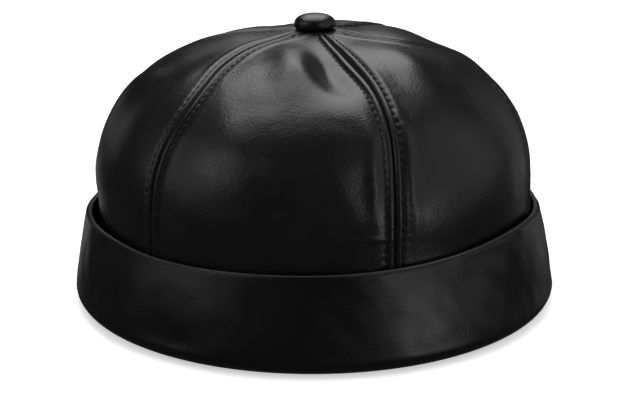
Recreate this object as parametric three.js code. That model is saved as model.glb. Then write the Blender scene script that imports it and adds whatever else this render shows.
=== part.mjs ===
// A brimless leather hat: a crown of six sewn panels, a covered button on top, and a cuff turned up
// all the way round. Millimetres, +Z up, the front towards -Y. The origin is on the surface that the
// hat stands on, under the middle of its rim. An azimuth is 0 at the front and 90 at +X.
import * as THREE from "three";

// The crown: an oval dome on a short straight wall, measured outside
const HALF_WIDTH = 91.2;
const LENGTH_RATIO = 1.12;
const WALL_TOP = 41.7;
const DOME_HEIGHT = 70.2;
const PLAN_POWER = 2.13;
const RISE_POWER = 2.9;
const APEX = new THREE.Vector2(0.6, 1.1);

// The leather is drawn up to the button, between these two shares of the plan size
const PEAK_RISE = 1.2;
const PEAK_INNER = 0.06;
const PEAK_OUTER = 0.27;

// The leather of the crown
const PANEL_WALL = 1.6;
const PUFF = 1.2;
const PUFF_POWER = 0.7;
const PUFF_START = 34.8;
const FOLD_FADE = 18;
const SEAM_GAP = 0.3;
const WELT_HEIGHT = 0.9;
const WELT_MIDDLE = 1.8;
const STITCH_LINE = 3.5;
const FULL_WELT_WIDTH = 4 * STITCH_LINE;
const BUTTONHOLE = 3;

// Each seam from the button to the cuff: its azimuth at the wall, how far it bows to one side half-way
// up, and how far it sways back and forth on the way
const SEAMS = [
  { azimuth: -44.1, bow: -4.8, sway: -4.4 },
  { azimuth: 19.5, bow: 2.3, sway: -1.3 },
  { azimuth: 75, bow: 10, sway: -9 },
  { azimuth: 136, bow: 4, sway: -3 },
  { azimuth: 187, bow: -2, sway: 2 },
  { azimuth: 251.4, bow: 3, sway: -2 },
];

// The soft dents and folds: middle (azimuth, and millimetres down the leather from the button),
// half-width across and half-length along, the turn of the long axis, and the rise (dents negative)
const FOLDS = [
  { azimuth: -10, down: 45, across: 9, along: 20, turn: 9, rise: 2.7 },
  { azimuth: 9.5, down: 46, across: 8.5, along: 19, turn: 12, rise: -4.6 },
  { azimuth: 15, down: 50, across: 3.2, along: 14, turn: 7, rise: 0.7 },
  { azimuth: 49, down: 51, across: 9, along: 16, turn: 0, rise: 1.5 },
  { azimuth: -26, down: 96, across: 15, along: 16, turn: 0, rise: 0.9 },
  { azimuth: -70, down: 64, across: 9, along: 26, turn: 0, rise: -1.6 },
  { azimuth: -81, down: 79, across: 14, along: 16, turn: 0, rise: 1.9 },
  { azimuth: -94, down: 56, across: 12, along: 12, turn: 0, rise: 0.8 },
  { azimuth: -147, down: 40, across: 15, along: 12, turn: 0, rise: -1.2 },
  { azimuth: 148, down: 42, across: 9, along: 12, turn: 0, rise: 0.4 },
  { azimuth: 127, down: 45, across: 9, along: 12, turn: 0, rise: 0.7 },
  { azimuth: 117, down: 61, across: 13, along: 11, turn: 0, rise: -0.8 },
  { azimuth: 112, down: 74, across: 16, along: 14, turn: 0, rise: 1.4 },
  { azimuth: 204, down: 28, across: 9, along: 13, turn: 0, rise: -1.4 },
  { azimuth: 170, down: 88, across: 9, along: 24, turn: 14, rise: -1.3 },
  { azimuth: 232, down: 74, across: 8, along: 22, turn: -12, rise: -1.2 },
  { azimuth: 108, down: 100, across: 8, along: 18, turn: 10, rise: -1.1 },
];

// The cuff: one strip, folded under at the foot and turned up round the crown. Distances are
// measured outwards from the crown's wall.
const CUFF_WALL = 2.6;
const RIM_HEIGHT = 40.3;
const RIM_OUT = 4.4;
const FOOT_OUT = 10.6;
const FOOT_HEIGHT = 6.6;
const FOLD_REACH = 10.4;
const FACE_BULGE = 0.5;
const CHANNEL_FLOOR = 2.4;
const LEG_WALL = 1.6;
const LEG_HEIGHT = 13;
const LEG_GAP = 0.4;

// How the rim waves: middle and half-width in degrees of azimuth, the rise, and how far it leans out
const RIM_WAVES = [
  { azimuth: -92, spread: 24, rise: -2.4, lean: 1.2 },
  { azimuth: -35, spread: 30, rise: -1.9, lean: 0 },
  { azimuth: 5, spread: 22, rise: -0.9, lean: 0 },
  { azimuth: 57, spread: 20, rise: 2.4, lean: 0 },
  { azimuth: 92, spread: 20, rise: 0, lean: -0.4 },
  { azimuth: 150, spread: 32, rise: -1.2, lean: 0 },
];

// The button: a leather-covered dome on a shank, held inside by a flat head
const BUTTON_RADIUS = 8.7;
const BUTTON_HEIGHT = 6;
const BUTTON_WIDEST = 1.6;
const BUTTON_POWER = 2.3;
const BUTTON_SHOULDER = 15;
const BUTTON_UNDERSIDE = -60;
const BUTTON_BASE_RADIUS = 7.8;
const BUTTON_LIFT = 0.6;
const SHANK_RADIUS = 2.4;
const HEAD_RADIUS = 6;
const HEAD_THICKNESS = 1.2;
const HEAD_GAP = 0.4;

// How finely each surface is divided
const DOME_ROWS = 17;
const WALL_ROWS = 3;
const INNER_COLUMNS = 8;
const NEAR_SEAM = [
  { distance: SEAM_GAP / 2, widthShare: 0.04 },
  { distance: WELT_MIDDLE, widthShare: 0.12 },
  { distance: STITCH_LINE, widthShare: 0.24 },
  { distance: 2 * STITCH_LINE, widthShare: 0.34 },
];
const CUFF_STEPS = 48;
const RIM_ARC_STEPS = 4;
const FACE_SHARES = [0.33, 0.66];
const BACK_SHARE = 0.5;
const FOOT_ARC_STEPS = 6;
const CHANNEL_ARC_STEPS = 4;
const LEG_ARC_STEPS = 2;
const BUTTON_STEPS = 24;
const BUTTON_SIDE_STEPS = 2;
const BUTTON_TOP_STEPS = 5;
const PROFILE_SAMPLES = 240;
const NORMAL_STEP = 0.5;

const radians = THREE.MathUtils.degToRad;
const lerp = THREE.MathUtils.lerp;

// The dome's profile, from the top to the wall: share of the plan size, height and length of leather
const PROFILE = domeProfile();
const DOME_LENGTH = PROFILE[PROFILE.length - 1].down;
const PANEL_FOOT = CHANNEL_FLOOR + LEG_GAP;
const CROWN_LENGTH = DOME_LENGTH + WALL_TOP - PANEL_FOOT;

function domeProfile() {
  const points = [];
  let down = 0;
  for (let i = 0; i <= PROFILE_SAMPLES; i++) {
    const angle = (Math.PI / 2) * (1 - i / PROFILE_SAMPLES);
    const share = Math.max(0, Math.cos(angle)) ** (2 / PLAN_POWER);
    const peak = PEAK_RISE * (1 - THREE.MathUtils.smoothstep(share, PEAK_INNER, PEAK_OUTER));
    const height = WALL_TOP + DOME_HEIGHT * Math.sin(angle) ** (2 / RISE_POWER) + peak;
    const last = points[i - 1];
    if (last) down += Math.hypot((share - last.share) * HALF_WIDTH, height - last.height);
    points.push({ share, height, down });
  }
  return points;
}

// The share of the plan size and the height, at a length of leather below the top
function meridian(down) {
  if (down >= DOME_LENGTH) return { share: 1, height: WALL_TOP - (down - DOME_LENGTH) };
  const next = PROFILE.findIndex((point) => point.down > down);
  const [a, b] = [PROFILE[next - 1], PROFILE[next]];
  const t = (down - a.down) / (b.down - a.down);
  return { share: lerp(a.share, b.share, t), height: lerp(a.height, b.height, t) };
}

// A point of the smooth crown, before its seams and folds
function crownPoint(down, azimuth) {
  const { share, height } = meridian(down);
  const angle = radians(azimuth);
  return new THREE.Vector3(
    share * HALF_WIDTH * Math.sin(angle) + APEX.x * (1 - share),
    -share * HALF_WIDTH * LENGTH_RATIO * Math.cos(angle) + APEX.y * (1 - share),
    height,
  );
}

function crownNormal(down, azimuth) {
  const [above, below] = [-NORMAL_STEP, NORMAL_STEP].map((step) => crownPoint(down + step, azimuth));
  const [left, right] = [-NORMAL_STEP, NORMAL_STEP].map((step) => crownPoint(down, azimuth + step));
  return below.sub(above).cross(right.sub(left)).normalize();
}

function seamAzimuth(seam, share) {
  const bow = seam.bow * 4 * share * (1 - share);
  return seam.azimuth + bow + seam.sway * Math.sin(2 * Math.PI * share);
}

// The signed turn from one azimuth to another, the short way round
function turnTo(azimuth, middle) {
  return THREE.MathUtils.euclideanModulo(azimuth - middle + 180, 360) - 180;
}

// The rise of all the folds together, which ends before the cuff
function foldRise(down, azimuth) {
  const radius = meridian(down).share * HALF_WIDTH;
  let total = 0;
  for (const fold of FOLDS) {
    const x = radians(turnTo(azimuth, fold.azimuth)) * radius;
    const y = down - fold.down;
    const turn = radians(fold.turn);
    const across = (x * Math.cos(turn) - y * Math.sin(turn)) / fold.across;
    const along = (y * Math.cos(turn) + x * Math.sin(turn)) / fold.along;
    total += fold.rise * Math.exp(-(across ** 2) - along ** 2);
  }
  const foot = 1 - THREE.MathUtils.smoothstep(down, DOME_LENGTH - FOLD_FADE, DOME_LENGTH);
  return total * foot;
}

// How far the leather swells between two seams: nothing at the seams, the top and behind the cuff
function puffRise(down, share) {
  const top = THREE.MathUtils.smoothstep(down, BUTTON_RADIUS, PUFF_START);
  const foot = 1 - THREE.MathUtils.smoothstep(down, DOME_LENGTH - FOLD_FADE, DOME_LENGTH);
  return PUFF * top * foot * (4 * share * (1 - share)) ** PUFF_POWER;
}

// The raised welt beside a seam, down to nothing at the stitch line, and lower where a panel is narrow
function weltRise(distance, width, down) {
  const scale = Math.min(1, width / FULL_WELT_WIDTH);
  const edge = THREE.MathUtils.smoothstep(distance, -WELT_MIDDLE * scale, WELT_MIDDLE * scale);
  const fall = 1 - THREE.MathUtils.smoothstep(distance, WELT_MIDDLE * scale, STITCH_LINE * scale);
  const foot = 1 - THREE.MathUtils.smoothstep(down, DOME_LENGTH, CROWN_LENGTH);
  return WELT_HEIGHT * scale * foot * Math.min(edge, fall);
}

// The distances from the left seam at which a panel of some width is cut into columns: some near
// each seam, which draw in to a share of the width where the panel is narrow, and the rest between
function columnDistances(width) {
  const near = NEAR_SEAM.map(({ distance, widthShare }) => Math.min(distance, widthShare * width));
  const last = near[near.length - 1];
  const middle = Array.from({ length: INNER_COLUMNS }, (_, i) =>
    lerp(last, width - last, (i + 1) / (INNER_COLUMNS + 1)),
  );
  return [...near, ...middle, ...near.map((d) => width - d).reverse()];
}

// The lengths of leather at which a panel is cut into rows
function rowLengths() {
  const dome = Array.from({ length: DOME_ROWS }, (_, i) =>
    lerp(BUTTONHOLE, DOME_LENGTH, i / (DOME_ROWS - 1)),
  );
  const wall = Array.from({ length: WALL_ROWS }, (_, i) =>
    lerp(DOME_LENGTH, CROWN_LENGTH, (i + 1) / WALL_ROWS),
  );
  return [...dome, ...wall];
}

// One panel between two seams, as the rows of its outer and inner faces
function panelFaces(left, right) {
  const outer = [];
  const inner = [];
  for (const down of rowLengths()) {
    const { share } = meridian(down);
    const from = seamAzimuth(left, share);
    const to = seamAzimuth(right, share);
    const width = crownPoint(down, from).distanceTo(crownPoint(down, to));
    const outerRow = [];
    const innerRow = [];
    for (const distance of columnDistances(width)) {
      const part = distance / width;
      const azimuth = lerp(from, to, part);
      const normal = crownNormal(down, azimuth);
      const soft = puffRise(down, part) + foldRise(down, azimuth);
      const welt = weltRise(Math.min(distance, width - distance), width, down);
      outerRow.push(crownPoint(down, azimuth).addScaledVector(normal, soft + welt));
      innerRow.push(crownPoint(down, azimuth).addScaledVector(normal, soft - PANEL_WALL));
    }
    outer.push(outerRow);
    inner.push(innerRow);
  }
  return { outer, inner };
}

// Two triangles between four corners, anticlockwise from outside
function addQuad(triangles, a, b, c, d) {
  triangles.push(a, b, c, a, c, d);
}

// A closed wall from the rows of its outer and inner faces, with edges all round
function wallGeometry({ outer, inner }) {
  const rows = outer.length;
  const columns = outer[0].length;
  const points = [...outer.flat(), ...inner.flat()];
  const out = (i, j) => i * columns + j;
  const into = (i, j) => (rows + i) * columns + j;
  const triangles = [];
  for (let i = 0; i < rows - 1; i++) {
    for (let j = 0; j < columns - 1; j++) {
      addQuad(triangles, out(i, j), out(i + 1, j), out(i + 1, j + 1), out(i, j + 1));
      addQuad(triangles, into(i, j), into(i, j + 1), into(i + 1, j + 1), into(i + 1, j));
    }
    addQuad(triangles, out(i + 1, 0), out(i, 0), into(i, 0), into(i + 1, 0));
    const end = columns - 1;
    addQuad(triangles, out(i, end), out(i + 1, end), into(i + 1, end), into(i, end));
  }
  for (let j = 0; j < columns - 1; j++) {
    addQuad(triangles, out(0, j), out(0, j + 1), into(0, j + 1), into(0, j));
    const end = rows - 1;
    addQuad(triangles, out(end, j + 1), out(end, j), into(end, j), into(end, j + 1));
  }
  return geometryOf(points, triangles);
}

function geometryOf(points, triangles) {
  const geometry = new THREE.BufferGeometry().setFromPoints(points);
  geometry.setIndex(triangles);
  geometry.computeVertexNormals();
  return geometry;
}

// Points along part of an ellipse about (x, z), from one angle to another, both ends included
function arc(x, z, radiusX, radiusZ, from, to, steps) {
  return Array.from({ length: steps + 1 }, (_, i) => {
    const angle = radians(lerp(from, to, i / steps));
    return [x + radiusX * Math.cos(angle), z + radiusZ * Math.sin(angle)];
  });
}

// The middle of the rim's rolled edge: its outer side's distance from the wall, and its height
function rimPlace(azimuth) {
  const rim = { out: RIM_OUT, height: RIM_HEIGHT - CUFF_WALL / 2 };
  for (const wave of RIM_WAVES) {
    const share = Math.exp(-((turnTo(azimuth, wave.azimuth) / wave.spread) ** 2));
    rim.out += wave.lean * share;
    rim.height += wave.rise * share;
  }
  return rim;
}

// The slanting face of the cuff, at a share of the way down from the rim to the foot
function cuffFace(rim, share, inset) {
  const bulge = FACE_BULGE * Math.sin(Math.PI * share);
  return [lerp(rim.out, FOOT_OUT, share) + bulge - inset, lerp(rim.height, FOOT_HEIGHT, share)];
}

// The cuff's section, as distance outside the crown's wall and height: from the rim down the face,
// in under the foot, up and down the leg inside the opening, and back up behind the face
function cuffSection(azimuth) {
  const rimRadius = CUFF_WALL / 2;
  const rim = rimPlace(azimuth);
  const heel = FOOT_OUT - FOLD_REACH;
  const legOut = -(PANEL_WALL + LEG_GAP);
  const legMiddle = legOut - LEG_WALL / 2;
  const legIn = legOut - LEG_WALL;
  const channelReach = FOLD_REACH - CUFF_WALL;
  const channelDepth = FOOT_HEIGHT - CHANNEL_FLOOR;
  return [
    ...arc(rim.out - rimRadius, rim.height, rimRadius, rimRadius, 180, 0, RIM_ARC_STEPS),
    ...FACE_SHARES.map((share) => cuffFace(rim, share, 0)),
    ...arc(heel, FOOT_HEIGHT, FOLD_REACH, FOOT_HEIGHT, 0, -90, FOOT_ARC_STEPS),
    ...arc(legIn + LEG_WALL, LEG_WALL, LEG_WALL, LEG_WALL, -90, -180, LEG_ARC_STEPS),
    ...arc(legMiddle, LEG_HEIGHT, LEG_WALL / 2, LEG_WALL / 2, 180, 0, LEG_ARC_STEPS),
    [legOut, CHANNEL_FLOOR],
    ...arc(heel, FOOT_HEIGHT, channelReach, channelDepth, -90, 0, CHANNEL_ARC_STEPS),
    cuffFace(rim, BACK_SHARE, CUFF_WALL),
  ];
}

// The cuff, as rings of its section at even steps round the oval
function cuffGeometry() {
  const steps = Array.from({ length: CUFF_STEPS }, (_, k) => (k * 360) / CUFF_STEPS);
  const rings = steps.map((azimuth) => {
    const angle = radians(azimuth);
    const [x, y] = [Math.sin(angle), -Math.cos(angle)];
    const out = new THREE.Vector2(x * LENGTH_RATIO, y).normalize();
    return cuffSection(azimuth).map(
      ([distance, height]) =>
        new THREE.Vector3(
          x * HALF_WIDTH + out.x * distance,
          y * HALF_WIDTH * LENGTH_RATIO + out.y * distance,
          height,
        ),
    );
  });
  const size = rings[0].length;
  const at = (k, p) => (k % CUFF_STEPS) * size + (p % size);
  const triangles = [];
  for (let k = 0; k < CUFF_STEPS; k++) {
    for (let p = 0; p < size; p++) {
      addQuad(triangles, at(k, p), at(k, p + 1), at(k + 1, p + 1), at(k + 1, p));
    }
  }
  return geometryOf(rings.flat(), triangles);
}

// The button's domed top, from its shoulder above the widest ring, flatter in the middle than an ellipse
function buttonTop(widest, height) {
  return Array.from({ length: BUTTON_TOP_STEPS + 1 }, (_, i) => {
    const angle = radians(lerp(BUTTON_SHOULDER, 90, i / BUTTON_TOP_STEPS));
    const [share, rise] = [Math.cos(angle), Math.sin(angle)].map((v) => v ** (2 / BUTTON_POWER));
    return [BUTTON_RADIUS * share, widest + height * rise];
  });
}

// The button with its shank and flat head, as one turned solid
function buttonGeometry() {
  const base = BUTTON_LIFT;
  const crest = base + BUTTON_HEIGHT;
  const widest = base + BUTTON_WIDEST;
  const headTop = -PANEL_WALL - HEAD_GAP;
  const turnIn = BUTTON_RADIUS - BUTTON_BASE_RADIUS;
  const outline = [
    [0, headTop - HEAD_THICKNESS],
    [HEAD_RADIUS, headTop - HEAD_THICKNESS],
    [HEAD_RADIUS, headTop],
    [SHANK_RADIUS, headTop],
    [SHANK_RADIUS, base],
    [BUTTON_BASE_RADIUS, base],
    ...arc(BUTTON_BASE_RADIUS, widest, turnIn, BUTTON_WIDEST, BUTTON_UNDERSIDE, 0, BUTTON_SIDE_STEPS),
    ...buttonTop(widest, crest - widest),
  ];
  const points = outline.map(([x, z]) => new THREE.Vector2(x, z));
  points[points.length - 1].x = 0;
  const geometry = new THREE.LatheGeometry(points, BUTTON_STEPS);
  geometry.rotateX(Math.PI / 2);
  return geometry;
}

function leather(name, color, roughness) {
  return new THREE.MeshStandardMaterial({ name, color, roughness, metalness: 0 });
}

function addPiece(group, name, geometry, material) {
  const mesh = new THREE.Mesh(geometry, material);
  mesh.name = name;
  group.add(mesh);
  return mesh;
}

const hat = new THREE.Group();
SEAMS.forEach((left, i) => {
  const next = SEAMS[(i + 1) % SEAMS.length];
  const right = i + 1 < SEAMS.length ? next : { ...next, azimuth: next.azimuth + 360 };
  const material = leather("crown leather", 0x17161a, 0.42);
  addPiece(hat, `panel_${i + 1}`, wallGeometry(panelFaces(left, right)), material);
});
addPiece(hat, "cuff", cuffGeometry(), leather("cuff leather", 0x1a191b, 0.45));
const button = addPiece(hat, "button", buttonGeometry(), leather("button leather", 0x1c1b1d, 0.36));
button.position.set(APEX.x, APEX.y, WALL_TOP + DOME_HEIGHT + PEAK_RISE);

export default hat;
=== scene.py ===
"""The looks of a black leather hat: a crown of six sewn panels, a covered button and a turned-up cuff.

Metres, +Z up, the front towards -Y. An azimuth is in degrees, 0 at the front and 90 at +X.
"down" is a length of leather below the top of the crown, measured along the surface.
On the crown, a "rise" is how far the leather stands off the plain dome.
"""

import math

import bpy
import numpy as np
from mathutils import Matrix, Vector


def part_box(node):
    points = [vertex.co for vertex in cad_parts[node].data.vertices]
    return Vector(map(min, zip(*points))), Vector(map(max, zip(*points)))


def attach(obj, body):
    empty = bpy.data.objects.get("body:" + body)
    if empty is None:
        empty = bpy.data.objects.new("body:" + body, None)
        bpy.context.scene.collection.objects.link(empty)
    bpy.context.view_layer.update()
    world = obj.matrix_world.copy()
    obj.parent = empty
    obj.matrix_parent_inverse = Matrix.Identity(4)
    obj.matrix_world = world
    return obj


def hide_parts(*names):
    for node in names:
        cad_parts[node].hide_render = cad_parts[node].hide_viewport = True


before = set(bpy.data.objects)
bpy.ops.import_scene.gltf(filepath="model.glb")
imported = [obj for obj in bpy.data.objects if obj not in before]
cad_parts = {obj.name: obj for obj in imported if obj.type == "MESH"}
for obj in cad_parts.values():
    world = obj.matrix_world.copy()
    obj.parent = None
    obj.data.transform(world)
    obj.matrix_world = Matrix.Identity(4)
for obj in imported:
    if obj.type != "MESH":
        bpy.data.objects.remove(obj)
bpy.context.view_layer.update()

MM = 0.001

# The cuff, measured outwards from the crown's wall
CUFF_WALL = 2.6 * MM
RIM_HEIGHT = 40.3 * MM
RIM_OUT = 4.4 * MM
RIM_SLOPE = 2.2 * MM
RIM_DROP = 0.95 * MM
RIM_POWER = 1.5
FOOT_OUT = 10.6 * MM
FOOT_HEIGHT = 6.6 * MM
FOLD_REACH = 10.4 * MM
FACE_BULGE = 0.5 * MM
CHANNEL_FLOOR = 2.4 * MM
LEG_WALL = 1.6 * MM
LEG_HEIGHT = 13 * MM
LEG_GAP = 0.4 * MM

# The rim waves up and down, and leans out or in, around these azimuths
RIM_WAVES = [
    {"azimuth": -92, "spread": 24, "rise": -2.4 * MM, "lean": 1.2 * MM},
    {"azimuth": -35, "spread": 30, "rise": -1.9 * MM, "lean": 0},
    {"azimuth": 5, "spread": 22, "rise": -0.9 * MM, "lean": 0},
    {"azimuth": 57, "spread": 20, "rise": 2.4 * MM, "lean": 0},
    {"azimuth": 92, "spread": 20, "rise": 0, "lean": -0.4 * MM},
    {"azimuth": 150, "spread": 32, "rise": -1.2 * MM, "lean": 0},
]

# The crown, sized from the frame: the cuff's foot gives its oval, the button its top
CUFF_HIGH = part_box("cuff")[1]
BUTTON_LOW, BUTTON_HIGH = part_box("button")
HALF_WIDTH = CUFF_HIGH.x - FOOT_OUT
LENGTH_RATIO = (CUFF_HIGH.y - FOOT_OUT) / HALF_WIDTH
BUTTON_LIFT = 0.6 * MM
BUTTON_HEIGHT = 6 * MM
WALL_TOP = 41.7 * MM
PLAN_POWER = 2.13
RISE_POWER = 2.9
APEX = ((BUTTON_LOW.x + BUTTON_HIGH.x) / 2, (BUTTON_LOW.y + BUTTON_HIGH.y) / 2)

# The leather is drawn up to the button, between these two shares of the plan size
PEAK_RISE = 1.2 * MM
PEAK_INNER = 0.06
PEAK_OUTER = 0.27
PEAK_TOP = BUTTON_HIGH.z - BUTTON_LIFT - BUTTON_HEIGHT
DOME_HEIGHT = PEAK_TOP - PEAK_RISE - WALL_TOP

# The panels
PANEL_WALL = 1.6 * MM
PUFF = 1.2 * MM
PUFF_POWER = 0.7
PUFF_START = 34.8 * MM
FOLD_FADE = 18 * MM
BUTTONHOLE = 3 * MM
SEAMS = [
    {"azimuth": -44.1, "bow": -4.8, "sway": -4.4},
    {"azimuth": 19.5, "bow": 2.3, "sway": -1.3},
    {"azimuth": 75, "bow": 10, "sway": -9},
    {"azimuth": 136, "bow": 4, "sway": -3},
    {"azimuth": 187, "bow": -2, "sway": 2},
    {"azimuth": 251.4, "bow": 3, "sway": -2},
]

# The soft dents and folds: middle, half-width across, half-length along, turn and rise, in degrees and mm
FOLD_COLUMNS = ("azimuth", "down", "across", "along", "turn", "rise")
FOLDS = [
    (-10, 45, 9, 20, 9, 2.7),
    (9.5, 46, 8.5, 19, 12, -4.6),
    (15, 50, 3.2, 14, 7, 0.7),
    (49, 51, 9, 16, 0, 1.5),
    (-26, 96, 15, 16, 0, 0.9),
    (-70, 64, 9, 26, 0, -1.6),
    (-81, 79, 14, 16, 0, 1.9),
    (-94, 56, 12, 12, 0, 0.8),
    (-147, 40, 15, 12, 0, -1.2),
    (148, 42, 9, 12, 0, 0.4),
    (127, 45, 9, 12, 0, 0.7),
    (117, 61, 13, 11, 0, -0.8),
    (112, 74, 16, 14, 0, 1.4),
    (204, 28, 9, 13, 0, -1.4),
    (170, 88, 9, 24, 14, -1.3),
    (232, 74, 8, 22, -12, -1.2),
    (108, 100, 8, 18, 10, -1.1),
]

# The small swells and creases that the stitching pulls up beside a seam: the seam counted from 1, the
# distance to its right, millimetres down, how the distance drifts on the way down, half-widths and rise
PULL_COLUMNS = ("seam", "beside", "down", "drift", "across", "along", "rise")
PULLS = [
    (2, 4.9, 50, 0, 1.6, 22, 0.5),
    (2, 6.8, 50, 0, 4.5, 22, 0.6),
    (2, 4, 76, 0, 1, 1.8, 0.4),
    (2, 7.4, 98, 0.06, 1.9, 23, 0.8),
    (2, -7.7, 98, 0.02, 2.3, 22, 0.8),
    (2, -6.5, 123.5, 0, 8, 1.3, 0.35),
    (2, -11, 68, -0.3, 8, 9, 0.8),
    (2, -23.5, 49, 0, 5, 8, 0.7),
    (2, -8.5, 48, -0.2, 3.5, 9, 0.4),
    (1, 6.2, 96, 0, 2.2, 26, 0.35),
    (1, 5.4, 28, 0, 1.6, 18, 0.6),
    (1, -5.4, 36, 0, 1.6, 22, 0.6),
    (3, -5.2, 30, 0, 1.6, 16, 0.6),
    (3, -6, 58, 0, 2, 20, 0.5),
    (3, 6.5, 92, -0.04, 2.2, 18, 0.6),
    (4, -6.8, 84, 0.05, 2, 22, 0.7),
    (5, 6, 60, 0, 1.8, 20, 0.6),
    (5, -7, 102, 0, 2.4, 18, 0.7),
    (6, 6.4, 70, -0.04, 2, 22, 0.6),
]

# The button: a covered dome, widest a little above its foot, over a shank with a head inside the crown.
# From the widest place the cover is tucked under to one angle, and rises over the dome between two.
BUTTON_RADIUS = (BUTTON_HIGH.x - BUTTON_LOW.x) / 2
BUTTON_CREST = BUTTON_LIFT + BUTTON_HEIGHT
BUTTON_WIDEST = 1.6 * MM
BUTTON_POWER = 2.3
BUTTON_TUCK = -80
BUTTON_DOME_ANGLES = (5, 88)
BUTTON_BASE_RADIUS = 7.8 * MM
SHANK_RADIUS = 2.4 * MM
HEAD_RADIUS = 6 * MM
HEAD_THICKNESS = 1.2 * MM
HEAD_GAP = 0.4 * MM
HEAD_TOP = -PANEL_WALL - HEAD_GAP
HEAD_FOOT = HEAD_TOP - HEAD_THICKNESS

# The gathers of the button's cover, near its edge
GATHER_COUNT = 17
GATHER_DEPTH = 0.12 * MM
GATHER_HEIGHT = 1.6 * MM
GATHER_INNER = 4 * MM

# The welts: rolled leather on both sides of a seam, with a groove between, in shares of their height
WELT_HEIGHT = 0.95 * MM
WELT_MIDDLE = 1.8 * MM
WELT_POWER = 2.3
GROOVE_DEPTH = 0.3
GROOVE_SPREAD = 0.4 * MM

# The stitches, in a line at this distance from the seam. The points along a stitch are in shares of the
# pitch, and each stands off the leather by its rise.
STITCH_LINE = 3.5 * MM
STITCH_PITCH = 3.3 * MM
STITCH_STEPS = np.array([0.08, 0.2, 0.5, 0.8, 0.92])
STITCH_RISES = np.array([-0.4, -0.02, 0.1, -0.02, -0.4]) * MM
STITCH_START = 1.4 * BUTTON_RADIUS
STITCH_PAST_DOME = 9 * MM
THREAD_RADIUS = 0.27 * MM
THREAD_SIDES = 7

# The line that the stitches press in, which deepens between two lengths down and is deepest where the
# thread goes in, and the puckers beside it, which two slow waves make uneven
DIMPLE_DEPTHS = (0.25 * MM, 0.5 * MM)
DIMPLE_HIGH = 35 * MM
DIMPLE_LOW = 65 * MM
DIMPLE_SPREAD = 0.6 * MM
DIMPLE_BEAT = 0.4
PUCKER_RISE = 0.045 * MM
PUCKER_EDGE = 0.4 * MM
PUCKER_REACH = 2.2 * MM
PUCKER_UNEVEN = 0.6
PUCKER_WAVES = (7 * MM, 17 * MM)
PUCKER_START = 1.6 * BUTTON_RADIUS

# The slackness of soft leather: random waves, each with its rise and length in mm and its seed
SLACK_COLUMNS = ("rise", "length", "seed")
CROWN_SLACK = [(0.22, 48, 11), (0.05, 15, 12)]
CROWN_SLACK_START = 3 * BUTTON_RADIUS
CUFF_SLACK = [(0.3, 42, 21), (0.06, 12, 22)]
CUFF_SLACK_HEIGHT = (2 * MM, 12 * MM)
CUFF_SLACK_OUT = (2 * MM, 4 * MM)

# A random field adds up this many waves, whose lengths lie between these shares of its own
RIPPLE_COUNT = 28
RIPPLE_SHARES = (0.75, 1.35)

# A highlight is painted along one line of the rim: a lighter colour stands in for the light that its
# folded edge catches. Its middle and half-width are counted in points of the cuff's section
RIM_HIGHLIGHT_MIDDLE = 9
RIM_HIGHLIGHT_SPREAD = 2.2
RIM_HIGHLIGHT_VARIES = 0.2
RIM_HIGHLIGHT_LENGTH = 60 * MM
RIM_HIGHLIGHT_SEED = 23

# How finely each surface is divided. The columns beside a seam are distances from it in mm, the first of
# them half the gap. They shrink where a panel is narrower than SEAM_ROOM times the last one.
ROW_STEP = STITCH_PITCH / 4
COLUMN_STEP = 1.4 * MM
SEAM_COLUMNS = [
    0.15, 0.3, 0.5, 0.8, 1.1, 1.4, 1.7, 2, 2.3, 2.6,
    2.9, 3.15, 3.35, 3.55, 3.8, 4.1, 4.6, 5.4, 6.4, 7.5,
]
SEAM_ROOM = 2.4
PROFILE_POINTS = 800
CUFF_STEPS = 576
RIM_BACK_STEPS = 5
RIM_SLOPE_STEPS = 14
FACE_STEPS = 27
FOLD_STEPS = 16
LEG_FOOT_STEPS = 5
LEG_TOP_STEPS = 6
CHANNEL_STEPS = 8
BACK_STEPS = 9
BUTTON_STEPS = 120
BUTTON_SIDE_STEPS = 10
BUTTON_DOME_STEPS = 25

# The flat undersides of the button and its head are divided at these shares of their radius
BASE_SHARE = 0.7
HEAD_SHARES = (0.3, 0.7, 1)

# The leathers and the thread: base colour, roughness, width of a pebble of the grain, and its depth
LEATHER_COLUMNS = ("color", "roughness", "grain", "depth")
LEATHERS = {
    "crown leather": ((0.0035, 0.0034, 0.0037), 0.29, 0.85 * MM, 0.05 * MM),
    "cuff leather": ((0.0022, 0.0021, 0.0021), 0.32, 0.85 * MM, 0.03 * MM),
    "button leather": ((0.0035, 0.0034, 0.0036), 0.26, 0.85 * MM, 0.05 * MM),
    "thread": ((0.004, 0.004, 0.004), 0.5, 0.3 * MM, 0.05 * MM),
}
# The lighter colour of the highlight painted along the rim's edge
PAINTED_HIGHLIGHT_COLOR = (0.065, 0.063, 0.061)

# Their patches of gloss and tint, and their creases and pores, with depths as shares of the grain's
PATCH_SCALE = 40
PATCH_DETAIL = 4
PATCH_RANGE = (0.3, 0.7)
ROUGHNESS_CHANGE = (-0.05, 0.06)
TINT_SHARES = (0.7, 1.4)
CREASE_SCALE = 260
CREASE_DEPTH = 2
PORES_ACROSS = 2.6
PORE_DEPTH = 0.5
FINE_DETAIL = 2


# Shapes of numbers
def smoothstep(x, low, high):
    t = np.clip((x - low) / (high - low), 0, 1)
    return t * t * (3 - 2 * t)


def bell(x, spread):
    return np.exp(-((x / spread) ** 2))


def hump(share):
    """0 at both ends and 1 in the middle."""
    return 4 * share * (1 - share)


def turn_to(azimuth, middle):
    """The signed turn from one azimuth to another, the short way round."""
    return (azimuth - middle + 180) % 360 - 180


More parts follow.
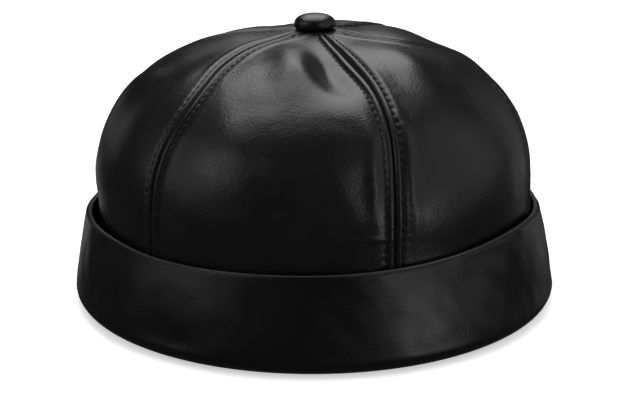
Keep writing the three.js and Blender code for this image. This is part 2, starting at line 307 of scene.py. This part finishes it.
def ripple_field(points, wavelength, seed):
    """A smooth random field with one wavelength and a spread of about 1, the same each run."""
    rng = np.random.default_rng(seed)
    directions = rng.normal(size=(RIPPLE_COUNT, 3))
    directions /= np.linalg.norm(directions, axis=1)[:, None]
    lengths = wavelength * rng.uniform(*RIPPLE_SHARES, RIPPLE_COUNT)
    phases = rng.uniform(0, 2 * math.pi, RIPPLE_COUNT)
    total = np.zeros(points.shape[:-1])
    for direction, length, phase in zip(directions, lengths, phases):
        total += np.cos(points @ direction * 2 * math.pi / length + phase)
    return total * math.sqrt(2 / RIPPLE_COUNT)


def slack_rise(points, waves):
    """The slight unevenness of soft leather."""
    total = 0
    for row in waves:
        wave = dict(zip(SLACK_COLUMNS, row))
        total = total + wave["rise"] * MM * ripple_field(points, wave["length"] * MM, wave["seed"])
    return total


# The crown's surface: a table from the length down to the share of the plan size and the height
PROFILE_ANGLES = np.linspace(math.pi / 2, 0, PROFILE_POINTS)
PROFILE_SHARE = np.clip(np.cos(PROFILE_ANGLES), 0, 1) ** (2 / PLAN_POWER)
PROFILE_PEAK = PEAK_RISE * (1 - smoothstep(PROFILE_SHARE, PEAK_INNER, PEAK_OUTER))
PROFILE_HEIGHT = WALL_TOP + DOME_HEIGHT * np.sin(PROFILE_ANGLES) ** (2 / RISE_POWER) + PROFILE_PEAK
PROFILE_STEPS = np.hypot(np.diff(PROFILE_SHARE) * HALF_WIDTH, np.diff(PROFILE_HEIGHT))
PROFILE_DOWN = np.concatenate([[0], np.cumsum(PROFILE_STEPS)])
DOME_LENGTH = PROFILE_DOWN[-1]
CROWN_LENGTH = DOME_LENGTH + WALL_TOP - CHANNEL_FLOOR - LEG_GAP


def meridian(down):
    """The share of the plan size and the height, at a length of leather below the top."""
    share = np.interp(down, PROFILE_DOWN, PROFILE_SHARE)
    height = np.interp(down, PROFILE_DOWN, PROFILE_HEIGHT)
    return share, height - np.maximum(down - DOME_LENGTH, 0)


def crown_point(down, azimuth):
    share, height = meridian(down)
    angle = np.radians(azimuth)
    x = share * HALF_WIDTH * np.sin(angle) + APEX[0] * (1 - share)
    y = -share * HALF_WIDTH * LENGTH_RATIO * np.cos(angle) + APEX[1] * (1 - share)
    return np.stack(np.broadcast_arrays(x, y, height), -1)


def crown_normal(down, azimuth):
    """Worked out from points half a millimetre above and below, and half a degree to each side."""
    step, turn = 0.5 * MM, 0.5
    along = crown_point(down + step, azimuth) - crown_point(down - step, azimuth)
    around = crown_point(down, azimuth + turn) - crown_point(down, azimuth - turn)
    normal = np.cross(along, around)
    return normal / np.linalg.norm(normal, axis=-1)[..., None]


def dome_fade(down):
    """1 over the dome, falling to 0 where the straight wall starts."""
    return 1 - smoothstep(down, DOME_LENGTH - FOLD_FADE, DOME_LENGTH)


def puff_rise(down, share):
    """How far a panel swells out between its seams."""
    top = smoothstep(down, BUTTON_RADIUS, PUFF_START)
    return PUFF * top * dome_fade(down) * np.maximum(hump(share), 0) ** PUFF_POWER


def fold_rise(down, azimuth):
    """The soft dents and folds. Each is a bell turned on the surface."""
    radius = meridian(down)[0] * HALF_WIDTH
    total = 0
    for row in FOLDS:
        fold = dict(zip(FOLD_COLUMNS, row))
        x = np.radians(turn_to(azimuth, fold["azimuth"])) * radius
        y = down - fold["down"] * MM
        turn = math.radians(fold["turn"])
        across = (x * math.cos(turn) - y * math.sin(turn)) / (fold["across"] * MM)
        along = (y * math.cos(turn) + x * math.sin(turn)) / (fold["along"] * MM)
        total = total + fold["rise"] * MM * np.exp(-across**2 - along**2)
    return total * dome_fade(down)


def crown_slack(points, down):
    top = smoothstep(down, BUTTON_RADIUS, CROWN_SLACK_START)
    return slack_rise(points, CROWN_SLACK) * top * dome_fade(down)


# The seams
def seam_azimuth(seam, share):
    """Where a seam runs at a share of the plan size: it bows to one side and sways across its line."""
    bow = seam["bow"] * hump(share)
    sway = seam["sway"] * np.sin(2 * math.pi * share)
    return seam["azimuth"] + bow + sway


def seam_scale(width):
    """How far a panel's seams are drawn together where the panel is narrow, near the button."""
    return np.minimum(1, width / (SEAM_ROOM * SEAM_COLUMNS[-1] * MM))


def pull_rise(seam, beside, down):
    """The swells and creases beside one seam, at a distance to its right."""
    total = 0
    for row in PULLS:
        pull = dict(zip(PULL_COLUMNS, row))
        if pull["seam"] == seam + 1:
            below = down / MM - pull["down"]
            away = beside / MM - pull["beside"] - pull["drift"] * below
            total = total + pull["rise"] * MM * bell(away, pull["across"]) * bell(below, pull["along"])
    return total


def welt_rise(distance, scale, down):
    """The rolled leather beside a seam: up from the groove, over the welt and down to the stitches."""
    d = distance / scale
    inside = 1 - np.clip(1 - d / WELT_MIDDLE, 0, 1) ** WELT_POWER
    outside = 1 - smoothstep(d, WELT_MIDDLE, STITCH_LINE)
    groove = -GROOVE_DEPTH * bell(d, GROOVE_SPREAD)
    foot = 1 - smoothstep(down, DOME_LENGTH, CROWN_LENGTH)
    return WELT_HEIGHT * scale * foot * (np.minimum(inside, outside) + groove)


def stitch_pull(distance, scale, down, seed):
    """Dimples where the thread goes in, and the small puckers that it pulls beside the stitch line."""
    d = distance / scale - STITCH_LINE
    beat = np.cos(2 * math.pi * down / STITCH_PITCH)
    shallow, deep = DIMPLE_DEPTHS
    depth = shallow + (deep - shallow) * smoothstep(down, DIMPLE_HIGH, DIMPLE_LOW)
    line = -depth * bell(d, DIMPLE_SPREAD) * (1 - DIMPLE_BEAT + DIMPLE_BEAT * beat)
    start = np.random.default_rng(seed).uniform(0, 2 * math.pi, 2)
    waves = [np.sin(down / length + phase) for length, phase in zip(PUCKER_WAVES, start)]
    uneven = 1 + PUCKER_UNEVEN * waves[0] * waves[1]
    reach = smoothstep(d, -PUCKER_EDGE, PUCKER_EDGE) * bell(d, PUCKER_REACH)
    top = smoothstep(down, BUTTON_RADIUS, PUCKER_START)
    foot = 1 - smoothstep(down, DOME_LENGTH, DOME_LENGTH + FOLD_FADE)
    return (line - PUCKER_RISE * beat * uneven * reach) * top * foot


# The panels
def panel_span(index, down):
    """The azimuths of a panel's two seams and the width between them, at each length down."""
    left, right = SEAMS[index], SEAMS[(index + 1) % len(SEAMS)]
    share = meridian(down)[0]
    start, end = seam_azimuth(left, share), seam_azimuth(right, share)
    end = start + (end - start) % 360
    width = np.linalg.norm(crown_point(down, start) - crown_point(down, end), axis=-1)
    return start, end, width


def panel_surface(index, down, distance):
    """A panel's points at these distances from its left seam: the plain crown, its normal, and how far
    the leather stands off it, without and with its seams."""
    start, end, width = panel_span(index, down)
    part = distance / width
    azimuth = start + part * (end - start)
    base = crown_point(down, azimuth)
    soft = puff_rise(down, part) + fold_rise(down, azimuth) + crown_slack(base, down)
    full = soft
    scale = seam_scale(width)
    for side, away in enumerate((distance, width - distance)):
        seam = (index + side) % len(SEAMS)
        full = full + pull_rise(seam, -away if side else away, down)
        full = full + welt_rise(away, scale, down) + stitch_pull(away, scale, down, 2 * seam + side)
    return base, crown_normal(down, azimuth), soft, full


def panel_columns(width):
    """The distances from the left seam at which each row of a panel is divided."""
    near = np.array(SEAM_COLUMNS) * MM * seam_scale(width)
    count = int((width.max() - 2 * near.max()) / COLUMN_STEP)
    middle = np.linspace(0, 1, count + 2)[1:-1]
    last = near[:, -1:]
    return np.concatenate([near, last + middle * (width - 2 * last), width - near[:, ::-1]], 1)


def panel_faces(index):
    """The outer and inner faces of one panel, as grids of points."""
    rows = int((CROWN_LENGTH - BUTTONHOLE) / ROW_STEP)
    down = np.linspace(BUTTONHOLE, CROWN_LENGTH, rows)[:, None]
    distance = panel_columns(panel_span(index, down)[2])
    base, normal, soft, full = panel_surface(index, down + 0 * distance, distance)
    return base + normal * full[..., None], base + normal * (soft - PANEL_WALL)[..., None]


# Meshes
def object_from(name, vertices, faces, material):
    mesh = bpy.data.meshes.new(name)
    mesh.from_pydata(np.asarray(vertices).reshape(-1, 3).tolist(), [], faces)
    mesh.validate()
    mesh.polygons.foreach_set("use_smooth", [True] * len(mesh.polygons))
    mesh.materials.append(material)
    mesh.update()
    obj = bpy.data.objects.new(name, mesh)
    bpy.context.scene.collection.objects.link(obj)
    return obj


def grid_quads(rows, columns, first=0, close_rows=False, close_columns=False):
    """Four-cornered faces between the points of a grid, anticlockwise when the rows go down."""
    i = np.arange(rows if close_rows else rows - 1)[:, None]
    j = np.arange(columns if close_columns else columns - 1)[None, :]
    below, beside = (i + 1) % rows, (j + 1) % columns
    corners = [i * columns + j, below * columns + j, below * columns + beside, i * columns + beside]
    return np.stack([c + 0 * (i + j) for c in corners], -1).reshape(-1, 4) + first


def wall_object(name, outer, inner, material):
    """A closed wall between two grids of the same size."""
    rows, columns = outer.shape[:2]
    count = rows * columns
    faces = [grid_quads(rows, columns), grid_quads(rows, columns, count)[:, ::-1]]
    index = np.arange(count).reshape(rows, columns)
    border = np.concatenate([index[:, 0], index[-1, 1:], index[-2::-1, -1], index[0, -2:0:-1]])
    following = np.roll(border, -1)
    faces.append(np.stack([following, border, border + count, following + count], -1))
    points = np.concatenate([outer.reshape(-1, 3), inner.reshape(-1, 3)])
    return object_from(name, points, np.concatenate(faces).tolist(), material)


def arc(x, z, radius_x, radius_z, start, end, steps):
    angle = np.radians(np.linspace(start, end, steps + 1))
    return [(x + radius_x * math.cos(a), z + radius_z * math.sin(a)) for a in angle]


def superellipse(x, z, radius_x, radius_z, power, start, end, steps):
    angle = np.radians(np.linspace(start, end, steps + 1))
    across, up = np.cos(angle) ** (2 / power), np.sin(angle) ** (2 / power)
    return list(zip(x + radius_x * across, z + radius_z * up))


# The cuff
def rim_place(azimuth):
    """The middle of the rim's rolled edge: its outer side's distance from the wall, and its height."""
    out, height = RIM_OUT, RIM_HEIGHT - CUFF_WALL / 2
    for wave in RIM_WAVES:
        share = bell(turn_to(azimuth, wave["azimuth"]), wave["spread"])
        out, height = out + wave["lean"] * share, height + wave["rise"] * share
    return out, height


def rim_edge(rim):
    """Over the rim from behind: a short round back, and a soft slope down to the face."""
    middle, low = rim[0] - RIM_SLOPE, rim[1] + CUFF_WALL / 2 - RIM_DROP
    back = arc(middle, low, CUFF_WALL - RIM_SLOPE, RIM_DROP, 180, 90, RIM_BACK_STEPS)
    slope = superellipse(middle, low, RIM_SLOPE, RIM_DROP, RIM_POWER, 90, 0, RIM_SLOPE_STEPS)
    return back[:-1] + slope


def cuff_face(rim, share, inset=0):
    """A point of the face, at a share of the way from the rim to the foot."""
    bulge = FACE_BULGE * math.sin(math.pi * share)
    out = rim[0] + (FOOT_OUT - rim[0]) * share + bulge - inset
    return out, rim[1] + (FOOT_HEIGHT - rim[1]) * share


def cuff_section(azimuth):
    """Distance outside the crown's wall and height: down the face, under the foot, up and down the leg,
    and back up behind the face."""
    rim = rim_place(azimuth)
    heel = FOOT_OUT - FOLD_REACH
    inner_reach = FOLD_REACH - CUFF_WALL
    inner_height = FOOT_HEIGHT - CHANNEL_FLOOR
    leg_out = -(PANEL_WALL + LEG_GAP)
    leg_in = leg_out - LEG_WALL
    face = np.linspace(0, 1, FACE_STEPS + 1)[1:-1]
    back = np.linspace(1, 0, BACK_STEPS + 1)[1:-1]
    section = rim_edge(rim)
    section += [cuff_face(rim, share) for share in face]
    section += arc(heel, FOOT_HEIGHT, FOLD_REACH, FOOT_HEIGHT, 0, -90, FOLD_STEPS)
    section += arc(leg_in + LEG_WALL, LEG_WALL, LEG_WALL, LEG_WALL, -90, -180, LEG_FOOT_STEPS)
    section += arc(leg_out - LEG_WALL / 2, LEG_HEIGHT, LEG_WALL / 2, LEG_WALL / 2, 180, 0, LEG_TOP_STEPS)
    section += [(leg_out, CHANNEL_FLOOR)]
    section += arc(heel, FOOT_HEIGHT, inner_reach, inner_height, -90, 0, CHANNEL_STEPS)
    section += [cuff_face(rim, share, CUFF_WALL) for share in back]
    return np.array(section)


def cuff_points():
    """The cuff as a grid of points: a row for each point of its section, a column for each azimuth."""
    azimuth = np.arange(CUFF_STEPS) * 360 / CUFF_STEPS
    angle = np.radians(azimuth)
    plan = np.stack([np.sin(angle), -np.cos(angle)], -1)
    out = plan * [LENGTH_RATIO, 1]
    out /= np.linalg.norm(out, axis=1)[:, None]
    section = np.stack([cuff_section(a) for a in azimuth], 1)
    wall = plan * [HALF_WIDTH, HALF_WIDTH * LENGTH_RATIO]
    xy = wall[None] + out[None] * section[..., :1]
    points = np.concatenate([xy, section[..., 1:]], -1)
    above = smoothstep(points[..., 2], *CUFF_SLACK_HEIGHT)
    outside = smoothstep(section[..., 0], *CUFF_SLACK_OUT)
    slack = slack_rise(points, CUFF_SLACK) * above * outside
    points[..., :2] += out[None] * slack[..., None]
    return points


def rim_painted_highlight(points):
    """How strongly the highlight is painted at each of the cuff's points, from 0 to 1."""
    steps = np.arange(len(points))[:, None] - RIM_HIGHLIGHT_MIDDLE
    uneven = 1 - RIM_HIGHLIGHT_VARIES + RIM_HIGHLIGHT_VARIES * ripple_field(points, RIM_HIGHLIGHT_LENGTH, RIM_HIGHLIGHT_SEED)
    return np.clip(bell(steps, RIM_HIGHLIGHT_SPREAD) * uneven, 0, 1)


def make_cuff(material):
    points = cuff_points()
    rows, columns = points.shape[:2]
    faces = grid_quads(rows, columns, close_rows=True, close_columns=True)
    cuff = object_from("cuff_leather", points, faces.tolist(), material)
    # This attribute carries the highlight painted in a lighter colour along the rim's edge
    painted_highlight = cuff.data.attributes.new("painted_highlight", "FLOAT", "POINT")
    painted_highlight.data.foreach_set("value", rim_painted_highlight(points).ravel())
    return cuff


# The button
def button_outline():
    """Radius and height over the crown's top: from the middle of the dome out, in to the shank, and down
    to the head inside the crown."""
    widest = BUTTON_LIFT + BUTTON_WIDEST
    side = BUTTON_RADIUS - BUTTON_BASE_RADIUS
    low, high = BUTTON_DOME_ANGLES
    rise = BUTTON_CREST - widest
    outline = superellipse(0, widest, BUTTON_RADIUS, rise, BUTTON_POWER, high, low, BUTTON_DOME_STEPS)
    outline += arc(BUTTON_BASE_RADIUS, widest, side, BUTTON_WIDEST, 0, BUTTON_TUCK, BUTTON_SIDE_STEPS)
    outline += [(BUTTON_BASE_RADIUS * BASE_SHARE, BUTTON_LIFT), (SHANK_RADIUS, BUTTON_LIFT)]
    outline += [(SHANK_RADIUS, HEAD_TOP), (HEAD_RADIUS, HEAD_TOP)]
    outline += [(HEAD_RADIUS * share, HEAD_FOOT) for share in reversed(HEAD_SHARES)]
    return outline


def make_button(material):
    radius, height = np.array(button_outline()).T[..., None]
    angle = np.linspace(0, 2 * math.pi, BUTTON_STEPS, endpoint=False)[None]
    gathered = bell(height - BUTTON_LIFT, GATHER_HEIGHT) * (radius > GATHER_INNER)
    reach = radius + GATHER_DEPTH * np.cos(GATHER_COUNT * angle) * gathered
    x = APEX[0] + reach * np.sin(angle)
    y = APEX[1] - reach * np.cos(angle)
    points = np.stack(np.broadcast_arrays(x, y, PEAK_TOP + height), -1)
    rows, columns = points.shape[:2]
    faces = grid_quads(rows, columns, close_columns=True).tolist()
    poles = [(*APEX, PEAK_TOP + pole) for pole in (BUTTON_CREST, HEAD_FOOT)]
    vertices = np.concatenate([points.reshape(-1, 3), poles])
    top = rows * columns
    last = top - columns
    for j in range(columns):
        k = (j + 1) % columns
        faces.append([j, k, top])
        faces.append([last + k, last + j, top + 1])
    return object_from("button_leather", vertices, faces, material)


# The stitches
def stitch_paths():
    """The middle line of every stitch on both sides of each seam, with the leather's normal along it."""
    paths, normals = [], []
    first = math.ceil(STITCH_START / STITCH_PITCH)
    last = int((DOME_LENGTH + STITCH_PAST_DOME) / STITCH_PITCH)
    down = (np.arange(first, last)[:, None] + STITCH_STEPS) * STITCH_PITCH
    for index in range(len(SEAMS)):
        width = panel_span(index, down)[2]
        away = STITCH_LINE * seam_scale(width)
        for distance in (away, width - away):
            base, normal, _, full = panel_surface(index, down, distance)
            paths.append(base + normal * (full + STITCH_RISES)[..., None])
            normals.append(normal)
    return np.concatenate(paths), np.concatenate(normals)


def make_stitching(material):
    path, normal = stitch_paths()
    along = np.gradient(path, axis=1)
    beside = np.cross(along, normal)
    beside /= np.linalg.norm(beside, axis=-1)[..., None]
    up = np.cross(beside, along)
    up /= np.linalg.norm(up, axis=-1)[..., None]
    turn = np.linspace(0, 2 * math.pi, THREAD_SIDES, endpoint=False)[:, None]
    ring = beside[:, :, None] * np.cos(turn) + up[:, :, None] * np.sin(turn)
    points = path[:, :, None] + THREAD_RADIUS * ring
    count, steps = path.shape[:2]
    faces = []
    for k in range(count):
        first = k * steps * THREAD_SIDES
        faces += grid_quads(steps, THREAD_SIDES, first, close_columns=True).tolist()
        faces.append([first + j for j in range(THREAD_SIDES)])
        faces.append([first + steps * THREAD_SIDES - 1 - j for j in range(THREAD_SIDES)])
    return object_from("stitching", points, faces, material)


# The materials
def new_material(name):
    """A material, its nodes and its shader."""
    material = bpy.data.materials.new(name)
    material.use_nodes = True
    return material, material.node_tree, material.node_tree.nodes["Principled BSDF"]


def texture_node(tree, kind, place, scale, detail=None):
    node = tree.nodes.new(kind)
    node.inputs["Scale"].default_value = scale
    if detail is not None:
        node.inputs["Detail"].default_value = detail
    tree.links.new(place.outputs["Object"], node.inputs["Vector"])
    return node


def bump_node(tree, height, depth, before=None):
    """Bump of some depth in metres, on top of an earlier one."""
    bump = tree.nodes.new("ShaderNodeBump")
    bump.inputs["Distance"].default_value = depth
    tree.links.new(height, bump.inputs["Height"])
    if before:
        tree.links.new(before.outputs["Normal"], bump.inputs["Normal"])
    return bump


def map_range(tree, value, low, high, to_low, to_high):
    node = tree.nodes.new("ShaderNodeMapRange")
    for name, number in zip(("From Min", "From Max", "To Min", "To Max"), (low, high, to_low, to_high)):
        node.inputs[name].default_value = number
    tree.links.new(value, node.inputs["Value"])
    return node.outputs["Result"]


def base_color_mix(tree, shader, factor):
    """A mix of two colours, linked to the shader's base colour."""
    mix = tree.nodes.new("ShaderNodeMix")
    mix.data_type = "RGBA"
    tree.links.new(factor, mix.inputs["Factor"])
    tree.links.new(mix.outputs["Result"], shader.inputs["Base Color"])
    return mix


def leather(name):
    """Smooth black leather: pebbled grain with pores, faint creases, and gloss that varies in patches."""
    look = dict(zip(LEATHER_COLUMNS, LEATHERS[name]))
    grain, depth = look["grain"], look["depth"]
    material, tree, shader = new_material(name)
    place = tree.nodes.new("ShaderNodeTexCoord")
    patches = texture_node(tree, "ShaderNodeTexNoise", place, PATCH_SCALE, PATCH_DETAIL)
    creases = texture_node(tree, "ShaderNodeTexNoise", place, CREASE_SCALE, FINE_DETAIL)
    pebbles = texture_node(tree, "ShaderNodeTexVoronoi", place, 1 / grain)
    pores = texture_node(tree, "ShaderNodeTexNoise", place, PORES_ACROSS / grain, FINE_DETAIL)
    bump = bump_node(tree, creases.outputs["Fac"], CREASE_DEPTH * depth)
    bump = bump_node(tree, pebbles.outputs["Distance"], depth, bump)
    bump = bump_node(tree, pores.outputs["Fac"], PORE_DEPTH * depth, bump)
    tree.links.new(bump.outputs["Normal"], shader.inputs["Normal"])
    ends = [look["roughness"] + change for change in ROUGHNESS_CHANGE]
    roughness = map_range(tree, patches.outputs["Fac"], *PATCH_RANGE, *ends)
    tree.links.new(roughness, shader.inputs["Roughness"])
    tint = base_color_mix(tree, shader, patches.outputs["Fac"])
    for end, share in zip("AB", TINT_SHARES):
        tint.inputs[end].default_value = (*[c * share for c in look["color"]], 1)
    return material


def paint_rim_highlight(material):
    """A highlight is painted on the leather in a lighter colour, where the cuff's attribute says so."""
    tree = material.node_tree
    shader = tree.nodes["Principled BSDF"]
    plain = shader.inputs["Base Color"].links[0].from_socket
    painted_highlight = tree.nodes.new("ShaderNodeAttribute")
    painted_highlight.attribute_name = "painted_highlight"
    mix = base_color_mix(tree, shader, painted_highlight.outputs["Fac"])
    tree.links.new(plain, mix.inputs["A"])
    mix.inputs["B"].default_value = (*PAINTED_HIGHLIGHT_COLOR, 1)


# The pieces
def make_crown():
    material = leather("crown leather")
    for index in range(len(SEAMS)):
        outer, inner = panel_faces(index)
        name = f"panel_{index + 1}"
        panel = wall_object(f"{name}_leather", outer, inner, material)
        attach(panel, "root")
        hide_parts(name)
    stitching = make_stitching(leather("thread"))
    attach(stitching, "root")


def make_hat():
    make_crown()
    cuff_leather = leather("cuff leather")
    # Paints a lighter highlight along the rim of the cuff
    paint_rim_highlight(cuff_leather)
    cuff = make_cuff(cuff_leather)
    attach(cuff, "root")
    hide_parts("cuff")
    button = make_button(leather("button leather"))
    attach(button, "root")
    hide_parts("button")


# The camera, with its lens and sensor in millimetres
HAT_MIDDLE = (0, 0, 60 * MM)
CAMERA_DISTANCE = 0.8
CAMERA_ELEVATION = 14.145
CAMERA_AIM = (2.45 * MM, -4.9 * MM, 40.6 * MM)
CAMERA_ROLL = -0.212
CAMERA_LENS = 106
CAMERA_SENSOR = 36


def make_camera():
    elevation = math.radians(CAMERA_ELEVATION)
    backwards = Vector((0, -math.cos(elevation), math.sin(elevation)))
    camera = bpy.data.objects.new("camera", bpy.data.cameras.new("camera"))
    bpy.context.scene.collection.objects.link(camera)
    camera.location = Vector(HAT_MIDDLE) + CAMERA_DISTANCE * backwards
    view = Vector(CAMERA_AIM) - camera.location
    turn = view.to_track_quat("-Z", "Y").to_matrix().to_4x4()
    roll = Matrix.Rotation(math.radians(CAMERA_ROLL), 4, "Z")
    camera.matrix_world = Matrix.Translation(camera.location) @ turn @ roll
    camera.data.lens = CAMERA_LENS
    camera.data.sensor_width = CAMERA_SENSOR
    bpy.context.scene.camera = camera


# The softboxes: the middle, the point that each faces, its width, its height and its radiance
LIGHT_COLUMNS = ("middle", "faces", "width", "height", "radiance")
LIGHTS = {
    "overhead": ((-0.03, 0.58, 0.88), (-0.03, 0.58, 0), 0.76, 1.06, 2.5),
    "overhead_back": ((0.06, 1.7, 0.88), (0.06, 1.7, 0), 0.66, 1.2, 1.1),
    "right_strip": ((0.76, -1.01, 0.5), HAT_MIDDLE, 0.24, 1.0, 1.7),
    "right_low": ((1.06, -0.75, -0.07), HAT_MIDDLE, 0.5, 0.28, 1.9),
    "right_wall": ((1.21, -0.15, 0.65), HAT_MIDDLE, 1.65, 1.5, 0.39),
    "right_back": ((0.9, 1.0, 0.25), HAT_MIDDLE, 0.6, 0.9, 0.15),
    "left_wall": ((-1.16, -0.38, 0.68), HAT_MIDDLE, 1.3, 1.35, 0.45),
    "left_glow": ((-0.82, -0.47, 0.7), HAT_MIDDLE, 0.3, 0.46, 1.1),
    "left_back": ((-0.79, 1.01, 0.16), HAT_MIDDLE, 0.35, 0.35, 0.2),
    "left_low": ((-0.55, 1.12, -0.25), HAT_MIDDLE, 0.2, 0.2, 0.35),
    "right_heel": ((0.88, 1.02, -0.23), HAT_MIDDLE, 0.4, 0.2, 0.2),
}

# Two more that light the leather and the paper but make no reflection
FILLS = {
    "top_fill": ((0, -0.4, 2.4), (0, 0, 0), 3, 3, 1.4),
    "front_fill": ((0, -2.2, 1.2), (0, 0, 0), 3, 1.6, 1.2),
}

# The white paper that the hat stands on, and the dim room
PAPER = {
    "Base Color": (0.86, 0.86, 0.86, 1),
    "Roughness": 0.9,
    "Emission Color": (1, 1, 1, 1),
    "Emission Strength": 0.5,
}
PAPER_HALF = 6
ROOM_COLOR = (0.032, 0.032, 0.034, 1)


def make_light(name, middle, faces, width, height, radiance):
    data = bpy.data.lights.new(name, "AREA")
    data.shape = "RECTANGLE"
    data.size = width
    data.size_y = height
    data.energy = radiance * math.pi * width * height
    light = bpy.data.objects.new(name, data)
    bpy.context.scene.collection.objects.link(light)
    light.location = middle
    away = Vector(middle) - Vector(faces)
    light.rotation_euler = away.to_track_quat("Z", "Y").to_euler()
    return light


def make_floor():
    paper, _, shader = new_material("paper")
    for socket, value in PAPER.items():
        shader.inputs[socket].default_value = value
    corners = [(x * PAPER_HALF, y * PAPER_HALF, 0) for x, y in ((-1, -1), (1, -1), (1, 1), (-1, 1))]
    floor = object_from("floor", corners, [(0, 1, 2, 3)], paper)
    floor.visible_glossy = False
    floor.visible_shadow = False


def make_studio():
    for name, row in {**LIGHTS, **FILLS}.items():
        light = make_light(name, **dict(zip(LIGHT_COLUMNS, row)))
        light.visible_glossy = name not in FILLS
    world = bpy.data.worlds.new("studio")
    world.use_nodes = True
    world.node_tree.nodes["Background"].inputs["Color"].default_value = ROOM_COLOR
    bpy.context.scene.world = world
    make_floor()
    bpy.context.scene.view_settings.view_transform = "Standard"


make_camera()
make_hat()
make_studio()
